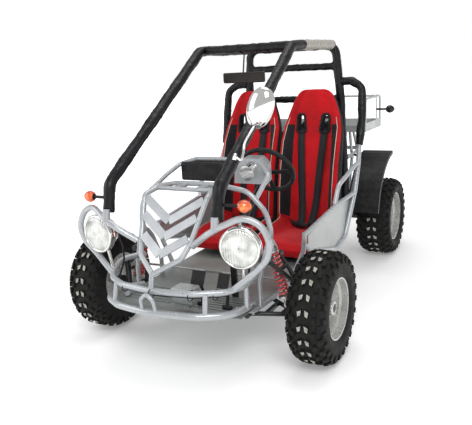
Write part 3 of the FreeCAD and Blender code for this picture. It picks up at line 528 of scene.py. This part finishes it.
# v, (y, z, normal y, normal z, half width, bolster height, thickness)
SEAT = [
    (0.00, (452, 318, -0.95, 0.30, 160, 6, 22)),
    (0.04, (444, 356, -0.80, 0.60, 170, 12, 50)),
    (0.09, (474, 384, -0.25, 0.97, 178, 20, 84)),
    (0.18, (580, 386, 0.02, 1.0, 182, 36, 92)),
    (0.29, (720, 372, 0.05, 1.0, 184, 54, 84)),
    (0.38, (835, 368, -0.15, 0.98, 186, 66, 82)),
    (0.43, (886, 392, -0.72, 0.69, 187, 72, 100)),
    (0.49, (905, 460, -0.97, 0.22, 188, 76, 92)),
    (0.58, (930, 580, -0.98, 0.20, 189, 86, 80)),
    (0.69, (962, 730, -0.98, 0.20, 190, 84, 72)),
    (0.79, (992, 868, -0.98, 0.20, 190, 62, 64)),
    (0.86, (1010, 955, -0.98, 0.20, 184, 30, 60)),
    (0.915, (1024, 1030, -0.98, 0.20, 164, 14, 56)),
    (0.96, (1040, 1112, -0.98, 0.22, 134, 10, 52)),
    (0.985, (1048, 1160, -0.95, 0.32, 104, 8, 44)),
    (1.00, (1056, 1182, -0.80, 0.60, 78, 4, 26)),
]


def seat(name, node, cx):
    NV = 72
    V_, F_, I_ = [], [], []
    # across the section: u from -1 (left edge) to 1, front surface then back surface
    us = [-1.0, -0.985, -0.93, -0.86, -0.79, -0.72, -0.64, -0.52, -0.36, -0.18, 0, 0.18, 0.36, 0.52, 0.64, 0.72, 0.79, 0.86, 0.93, 0.985, 1.0]
    back = [0.96, 0.7, 0.35, 0, -0.35, -0.7, -0.96]
    K = len(us) + len(back)
    for i in range(NV + 1):
        v = i / NV
        y, z, ny, nz, hw, bh, th = lerp_table(SEAT, v)
        ln = math.hypot(ny, nz)
        ny, nz = ny / ln, nz / ln
        for u in us:
            a = abs(u)
            t = max(0, min(1, (a - 0.60) / 0.24))
            h = bh * (t * t * (3 - 2 * t))
            crown = 7 * (1 - min(1, a / 0.6) ** 2)
            if a > 0.84:
                e = (a - 0.84) / 0.16
                h -= (bh * 0.18 + 8) * e ** 2.2
            if a > 0.99:
                h -= min(bh + 10, 24)
            # sewn channels: shallow grooves along the centre panel
            g = 0
            if a < 0.62:
                g = 3.0 * math.exp(-((a - 0.60) / 0.035) ** 2)
            V_.append(P(cx + u * hw, y + ny * (h + crown - g), z + nz * (h + crown - g)))
        for u in back:
            V_.append(P(cx + u * hw, y - ny * th * (1 - 0.12 * abs(u)), z - nz * th * (1 - 0.12 * abs(u))))
    for i in range(NV):
        for j in range(K):
            F_.append((i * K + j, i * K + (j + 1) % K, (i + 1) * K + (j + 1) % K, (i + 1) * K + j))
            v = (i + 0.5) / NV
            k_ = 0
            if j >= len(us) - 1:
                k_ = 1
            else:
                um = abs((us[j] + us[j + 1]) / 2)
                if 0.60 < um < 0.84 and v > 0.46 and v < 0.87:
                    k_ = 1
                if um > 0.975:
                    k_ = 1
            I_.append(k_)
    F_.append(tuple(range(K))[::-1]); I_.append(0)
    F_.append(tuple(NV * K + j for j in range(K))); I_.append(0)
    me = bpy.data.meshes.new(name)
    me.from_pydata([tuple(q) for q in V_], [], F_)
    me.materials.append(RED)
    me.materials.append(SEATBLK)
    me.polygons.foreach_set("material_index", I_)
    bm = bmesh.new()
    bm.from_mesh(me)
    bmesh.ops.recalc_face_normals(bm, faces=bm.faces)
    bm.to_mesh(me)
    bm.free()
    o = bpy.data.objects.new(name, me)
    bpy.context.scene.collection.objects.link(o)
    m = o.modifiers.new("s", "SUBSURF")
    m.levels = 1
    m.render_levels = 1
    applied(o)
    # harness slots
    cut_v, cut_f = [], []
    for k in (1, -1):
        ring_ = [(44, 940), (50, 930), (92, 930), (99, 940), (97, 1018), (90, 1030), (66, 1032), (58, 1024)]
        lo = [P(cx + k * x, 900, z) for x, z in ring_]
        hi = [P(cx + k * x, 1180, z) for x, z in ring_]
        b0 = len(cut_v)
        cut_v += lo + hi
        n_ = len(ring_)
        cut_f += [tuple(b0 + (i if k > 0 else n_ - 1 - i) for i in range(n_)), tuple(b0 + n_ + ((n_ - 1 - i) if k > 0 else i) for i in range(n_))]
        for i in range(n_):
            q = (b0 + i, b0 + n_ + i, b0 + n_ + (i + 1) % n_, b0 + (i + 1) % n_)
            cut_f.append(q if k > 0 else q[::-1])
    cm = bpy.data.meshes.new("cut")
    cm.from_pydata([tuple(q) for q in cut_v], [], cut_f)
    cm.materials.append(SEATBLK)
    bm = bmesh.new(); bm.from_mesh(cm); bmesh.ops.recalc_face_normals(bm, faces=bm.faces); bm.to_mesh(cm); bm.free()
    co = bpy.data.objects.new("cut", cm)
    bpy.context.scene.collection.objects.link(co)
    b = o.modifiers.new("c", "BOOLEAN")
    b.operation = "DIFFERENCE"
    b.object = co
    b.solver = "EXACT"
    applied(o)
    bpy.data.objects.remove(co)
    me = o.data
    me.polygons.foreach_set("use_smooth", [True] * len(me.polygons))
    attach(o, "chassis")
    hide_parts(node)
    # slot frames, piping along the wings' crests and the centre panel's seams
    pip = ([], [])
    blk = ([], [])
    for k in (1, -1):
        for uu, va, vb, lift in ((0.86, 0.10, 0.90, 0), (0.605, 0.06, 0.97, 0)):
            pts = []
            for i in range(60):
                v = va + (vb - va) * i / 59
                y, z, ny, nz, hw, bh, th = lerp_table(SEAT, v)
                ln = math.hypot(ny, nz)
                ny, nz = ny / ln, nz / ln
                t = max(0, min(1, (uu - 0.60) / 0.24))
                h = bh * (t * t * (3 - 2 * t)) + (0.3 if uu > 0.7 else -1.5)
                pts.append(P(cx + k * uu * hw, y + ny * h, z + nz * h))
            add(pip if uu > 0.7 else blk, sweep(pts, 0.0022, 8))
        ring_ = [(43, 938), (50, 928), (93, 928), (101, 938), (99, 1020), (91, 1033), (65, 1034), (56, 1026)]
        pts = []
        for x, z in ring_ + ring_[:1]:
            t = (z - 955) / (1030 - 955)
            pts.append(P(cx + k * x, 1010 + 14 * t - 5, z))
        fine = []
        for a, b_ in zip(pts[:-1], pts[1:]):
            for i in range(4):
                fine.append(a.lerp(b_, i / 4))
        add(blk, sweep(fine, 0.0075, 8, closed=True))
    obj(name + "_piping", *pip, PIPING, "chassis", None, True, "seat_red")
    obj(name + "_seams", *blk, SEATBLK, "chassis", None, True, "seat_red")
    return o


seat("driver_seat_cover", "driver_seat", 198)
seat("passenger_seat_cover", "passenger_seat", -198)


# ------------------------------------------------------------------ belts
def ribbon(pts, w, t, lat):
    """Flat strap through pts: width w along lat, thickness t."""
    V_, F_ = [], []
    n = len(pts)
    for i, p in enumerate(pts):
        d = (pts[min(i + 1, n - 1)] - pts[max(i - 1, 0)]).normalized()
        l = (lat - d * lat.dot(d)).normalized()
        nn = d.cross(l)
        for a, b in ((1, 1), (-1, 1), (-1, -1), (1, -1)):
            V_.append(p + l * (a * w / 2) + nn * (b * t / 2))
    for i in range(n - 1):
        for j in range(4):
            F_.append((i * 4 + j, i * 4 + (j + 1) % 4, (i + 1) * 4 + (j + 1) % 4, (i + 1) * 4 + j))
    F_.append((3, 2, 1, 0))
    F_.append(tuple((n - 1) * 4 + j for j in range(4)))
    return V_, F_


def smooth(pts, k=8):
    out = []
    n = len(pts)
    for i in range(n - 1):
        p0, p1, p2, p3 = pts[max(i - 1, 0)], pts[i], pts[i + 1], pts[min(i + 2, n - 1)]
        for j in range(k):
            t = j / k
            out.append(0.5 * ((2 * p1) + (p2 - p0) * t + (2 * p0 - 5 * p1 + 4 * p2 - p3) * t * t + (3 * p1 - p0 - 3 * p2 + p3) * t ** 3))
    out.append(pts[-1])
    return out


B = ([], [])
BK = ([], [])
for cx in (198, -198):
    for k in (1, -1):
        pts = smooth([P(cx + k * 72, 1092, 985), P(cx + k * 72, 1040, 962), P(cx + k * 71, 1000, 925), P(cx + k * 66, 972, 830), P(cx + k * 54, 936, 660), P(cx + k * 44, 908, 520), P(cx + k * 34, 866, 428), P(cx + k * 26, 820, 400)])
        add(B, ribbon(pts, 0.044, 0.0025, Vector((1, 0, 0))))
        pts = smooth([P(cx + k * 118, 900, 404), P(cx + k * 96, 858, 400), P(cx + k * 60, 826, 402), P(cx + k * 28, 812, 404)])
        add(B, ribbon(pts, 0.042, 0.0025, Vector((0, -0.3, 1))))
    a, b = P(cx - 30, 800, 392), P(cx + 30, 826, 412)
    c8 = [Vector((x, y, z)) for z in (a.z, b.z) for x, y in ((a.x, a.y), (b.x, a.y), (b.x, b.y), (a.x, b.y))]
    add(BK, block(c8))
o = obj("belts", *B, BELT, "chassis", None, True, "belt_black")
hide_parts("harnesses")
bevelled(obj("buckles", *BK, PLASTIC, "chassis", None, False, "black_plastic"), 0.004, 3)


# ------------------------------------------------------------------ spring units
def coilover(name, p, q, r, turns, node=None):
    d = (q - p)
    L = d.length
    u = d.normalized()
    a = Vector((0, 1, 0))
    e1 = (a - u * a.dot(u)).normalized()
    e2 = u.cross(e1)
    pts = []
    n = turns * 18
    for i in range(n + 1):
        t = i / n
        s = L * (0.125 + 0.705 * t)
        th = 2 * pi * turns * t
        pts.append(p + u * s + e1 * (math.cos(th) * (r - 0.0045)) + e2 * (math.sin(th) * (r - 0.0045)))
    o = obj(name + "_spring", *sweep(pts, 0.0056, 10), SPRING, "chassis", None, True, "spring_red")
    G = ([], [])
    add(G, lathe(p, u, [(0, 0.0001), (0.0, 0.011), (L * 0.10, 0.011), (L * 0.10, r + 0.002), (L * 0.12, r + 0.002), (L * 0.12, 0.014), (L * 0.5, 0.014), (L * 0.5, 0.007), (L * 0.84, 0.007),
                        (L * 0.84, r + 0.003), (L * 0.87, r + 0.003), (L * 0.87, 0.012), (L, 0.010), (L, 0.0001)], 28))
    for c in (p, q):
        add(G, lathe(c - Vector((0, 0.013, 0)), (0, 1, 0), [(0, 0.0001), (0, 0.012), (0.026, 0.012), (0.026, 0.0001)], 24))
    g = obj(name + "_damper", *G, STEEL, "chassis", None, True, "bright_steel")
    e = g.modifiers.new("e", "EDGE_SPLIT")
    e.split_angle = 0.6
    applied(g)
    return o


fs = [coilover("front_shock_%s" % n, P(s * 356, 0, 530), P(s * 428, 0, 246), 0.027, 10) for s, n in ((1, "left"), (-1, "right"))]
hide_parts("front_shocks")
rs = [coilover("rear_shock_%s" % n, P(s * 205, 1420, 640), P(s * 222, 1590, 345), 0.027, 9) for s, n in ((1, "left"), (-1, "right"))]
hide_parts("rear_shocks")


# ------------------------------------------------------------------ headlamp glass and rims
def lamp(name, c, s):
    ax = Vector((s * math.sin(math.radians(8)), -math.cos(math.radians(8)), 0))
    V_, F_ = lathe(c, ax, [(0.0005, 0.0805), (0.005, 0.076), (0.009, 0.060), (0.012, 0.040), (0.0135, 0.020), (0.014, 0.0003), (-0.004, 0.0003), (-0.004, 0.0805)], 64)
    obj(name + "_glass", V_, F_, LENS, "chassis", None, True, "chrome_bright")
    V_, F_ = lathe(c, ax, [(-0.018, 0.0925), (-0.002, 0.0915), (0.004, 0.086), (0.0035, 0.0805), (-0.004, 0.080), (-0.018, 0.088)], 64)
    obj(name + "_rim", V_, F_, CHROME, "chassis", None, True, "chrome_bright")


lamp("lamp_left", P(362, -322, 606), 1)
lamp("lamp_right", P(-388, -322, 608), -1)

for p_ in NODES["front_turn_signals"].data.polygons:
    p_.material_index = 0
NODES["front_turn_signals"].data.materials.append(PLASTIC)
for p_ in NODES["front_turn_signals"].data.polygons:
    if abs(p_.center.x) < 0.3745:
        p_.material_index = 1


# side mirror: smooth teardrop shell with its glass behind, cranked stem and clamp
def teardrop():
    V_, F_ = [], []
    k, n = 40, 28
    R_ = Matrix.Rotation(math.radians(20), 3, "Y")
    c = P(368, -76, 1160)
    for i in range(n + 1):
        t = -1 + 2 * i / n
        z = t * 0.094
        wd = 0.060 * math.sqrt(max(0, 1 - abs(t) ** 2.3)) * (1.0 if t > 0 else 1.0 - 0.12 * t * t)
        dp = 0.040 * math.sqrt(max(0, 1 - abs(t) ** 2.1))
        for j in range(k):
            a = 2 * pi * j / k
            x, y = math.cos(a) * wd, -math.sin(a) * dp
            if y > 0:
                y = min(y, 0.010)
            V_.append(c + R_ @ Vector((x, y, z)))
    for i in range(n):
        for j in range(k):
            F_.append((i * k + j, i * k + (j + 1) % k, (i + 1) * k + (j + 1) % k, (i + 1) * k + j))
    return V_, F_


tm = teardrop()
stem_ = smooth([P(300, -196, 968), P(322, -192, 954), P(320, -160, 985), P(318, -138, 1022), P(330, -104, 1062), P(344, -80, 1094)], 8)
add(tm, sweep(stem_, 0.0058, 10))
add(tm, lathe(P(300, -212, 955), (0, 0.55, 0.84), [(0, 0.0001), (0, 0.009), (0.03, 0.009), (0.03, 0.0001)], 20))
tmo = obj("mirror_shell", *tm, CHROME, "chassis", None, True, "chrome_bright")
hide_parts("side_mirror")

# cable ties on the bumper, engine fins, footplates
G = ([], [])
for x, y, z in ((0, -462, 414), (170, -420, 408), (-170, -420, 408), (262, -366, 404), (-262, -366, 404)):
    c = P(x, y, z)
    pts = [c + Vector((0, math.cos(2 * pi * i / 16) * 0.026, math.sin(2 * pi * i / 16) * 0.022 + 0.002)) for i in range(16)]
    add(G, sweep(pts, 0.0022, 6, closed=True))
obj("cable_ties", *G, PLASTIC, "chassis", None, True, "black_plastic")
G = ([], [])
for i in range(8):
    t = i / 7
    c = P(-20, 1400 - 40 * (0.25 + 0.7 * t), 560 + 130 * (0.25 + 0.7 * t))
    add(G, lathe(c, (0, -0.294, 0.956), [(0, 0.045), (0, 0.072), (0.003, 0.072), (0.003, 0.045)], 36))
obj("cylinder_fins", *G, ALLOY, "chassis", None, False, "engine_alloy")
G = ([], [])
for s in (1, -1):
    for i in range(7):
        a, b = P(s * 60, -250 + i * 26, 281.5), P(s * 300, -242 + i * 26, 284.5)
        x0, x1 = min(a.x, b.x), max(a.x, b.x)
        c8 = [Vector((x, y, z)) for z in (a.z, b.z) for x, y in ((x0, a.y), (x1, a.y), (x1, b.y), (x0, b.y))]
        add(G, block(c8))
obj("floor_ribs", *G, FLOOR_M, "chassis", None, False, "silver_sheet")


# ------------------------------------------------------------------ stage, light, camera
def plane(name, size, z, mat):
    me = bpy.data.meshes.new(name)
    me.from_pydata([(-size, -size, z), (size, -size, z), (size, size, z), (-size, size, z)], [], [(0, 1, 2, 3)])
    me.materials.append(mat)
    o = bpy.data.objects.new(name, me)
    bpy.context.scene.collection.objects.link(o)
    return o


fm = Mat("studio_floor")
fm.l(fm.ramp(fm.noise(0.6, 2), [(0.3, (0.90, 0.90, 0.90)), (0.7, (0.93, 0.93, 0.93))]), fm.b.inputs["Base Color"])
fm.b.inputs["Roughness"].default_value = 0.9
fm.b.inputs["Emission Color"].default_value = (1, 1, 1, 1)
fd = fm.n("ShaderNodeVectorMath", operation="LENGTH")
fm.l(fm.n("ShaderNodeNewGeometry").outputs["Position"], fd.inputs[0])
fr = fm.n("ShaderNodeMapRange")
fr.interpolation_type = "SMOOTHSTEP"
for k_, v_ in (("From Min", 1.6), ("From Max", 4.5), ("To Min", 0.18), ("To Max", 0.9)):
    fr.inputs[k_].default_value = v_
fm.l(fd.outputs["Value"], fr.inputs["Value"])
fm.l(fr.outputs["Result"], fm.b.inputs["Emission Strength"])
plane("floor", 40, -0.0005, fm.m)

w = bpy.data.worlds.new("studio")
bpy.context.scene.world = w
w.use_nodes = True
w.node_tree.nodes["Background"].inputs["Color"].default_value = (1, 1, 1, 1)
wn = w.node_tree
lp = wn.nodes.new("ShaderNodeLightPath")
mr = wn.nodes.new("ShaderNodeMapRange")
mr.inputs["To Min"].default_value = 0.62
mr.inputs["To Max"].default_value = 1.0
wn.links.new(lp.outputs["Is Camera Ray"], mr.inputs["Value"])
wn.links.new(mr.outputs["Result"], wn.nodes["Background"].inputs["Strength"])


def area(name, loc, aim, size, power):
    l = bpy.data.lights.new(name, "AREA")
    l.size = size
    l.energy = power
    o = bpy.data.objects.new(name, l)
    bpy.context.scene.collection.objects.link(o)
    o.location = loc
    o.rotation_euler = (Vector(aim) - Vector(loc)).to_track_quat("-Z", "Y").to_euler()
    return o


area("key", (2.2, -3.6, 3.6), (0, -0.2, 0.5), 2.0, 95)
area("fill", (-3.2, -2.6, 2.4), (0, 0, 0.6), 2.6, 45)
area("top", (0.2, 0.4, 4.6), (0, 0, 0.4), 2.4, 60)

az, el, roll = math.radians(28.1717), math.radians(13.5625), math.radians(-3.0865)
back = Vector((math.sin(az) * math.cos(el), -math.cos(az) * math.cos(el), math.sin(el)))
f = -back
r = f.cross(Vector((0, 0, 1))).normalized()
u = r.cross(f)
r2 = r * math.cos(roll) + u * math.sin(roll)
u2 = r * -math.sin(roll) + u * math.cos(roll)
cam = bpy.data.cameras.new("camera")
cam.sensor_width = 36
cam.sensor_fit = "HORIZONTAL"
cam.lens = 611.04 * 36 / 472
co = bpy.data.objects.new("camera", cam)
bpy.context.scene.collection.objects.link(co)
m = Matrix((r2, u2, back)).transposed().to_4x4()
m.translation = Vector((1.4975, -2.4551 - S, 1.3438))
co.matrix_world = m
bpy.context.scene.camera = co
bpy.context.scene.view_settings.view_transform = "Standard"
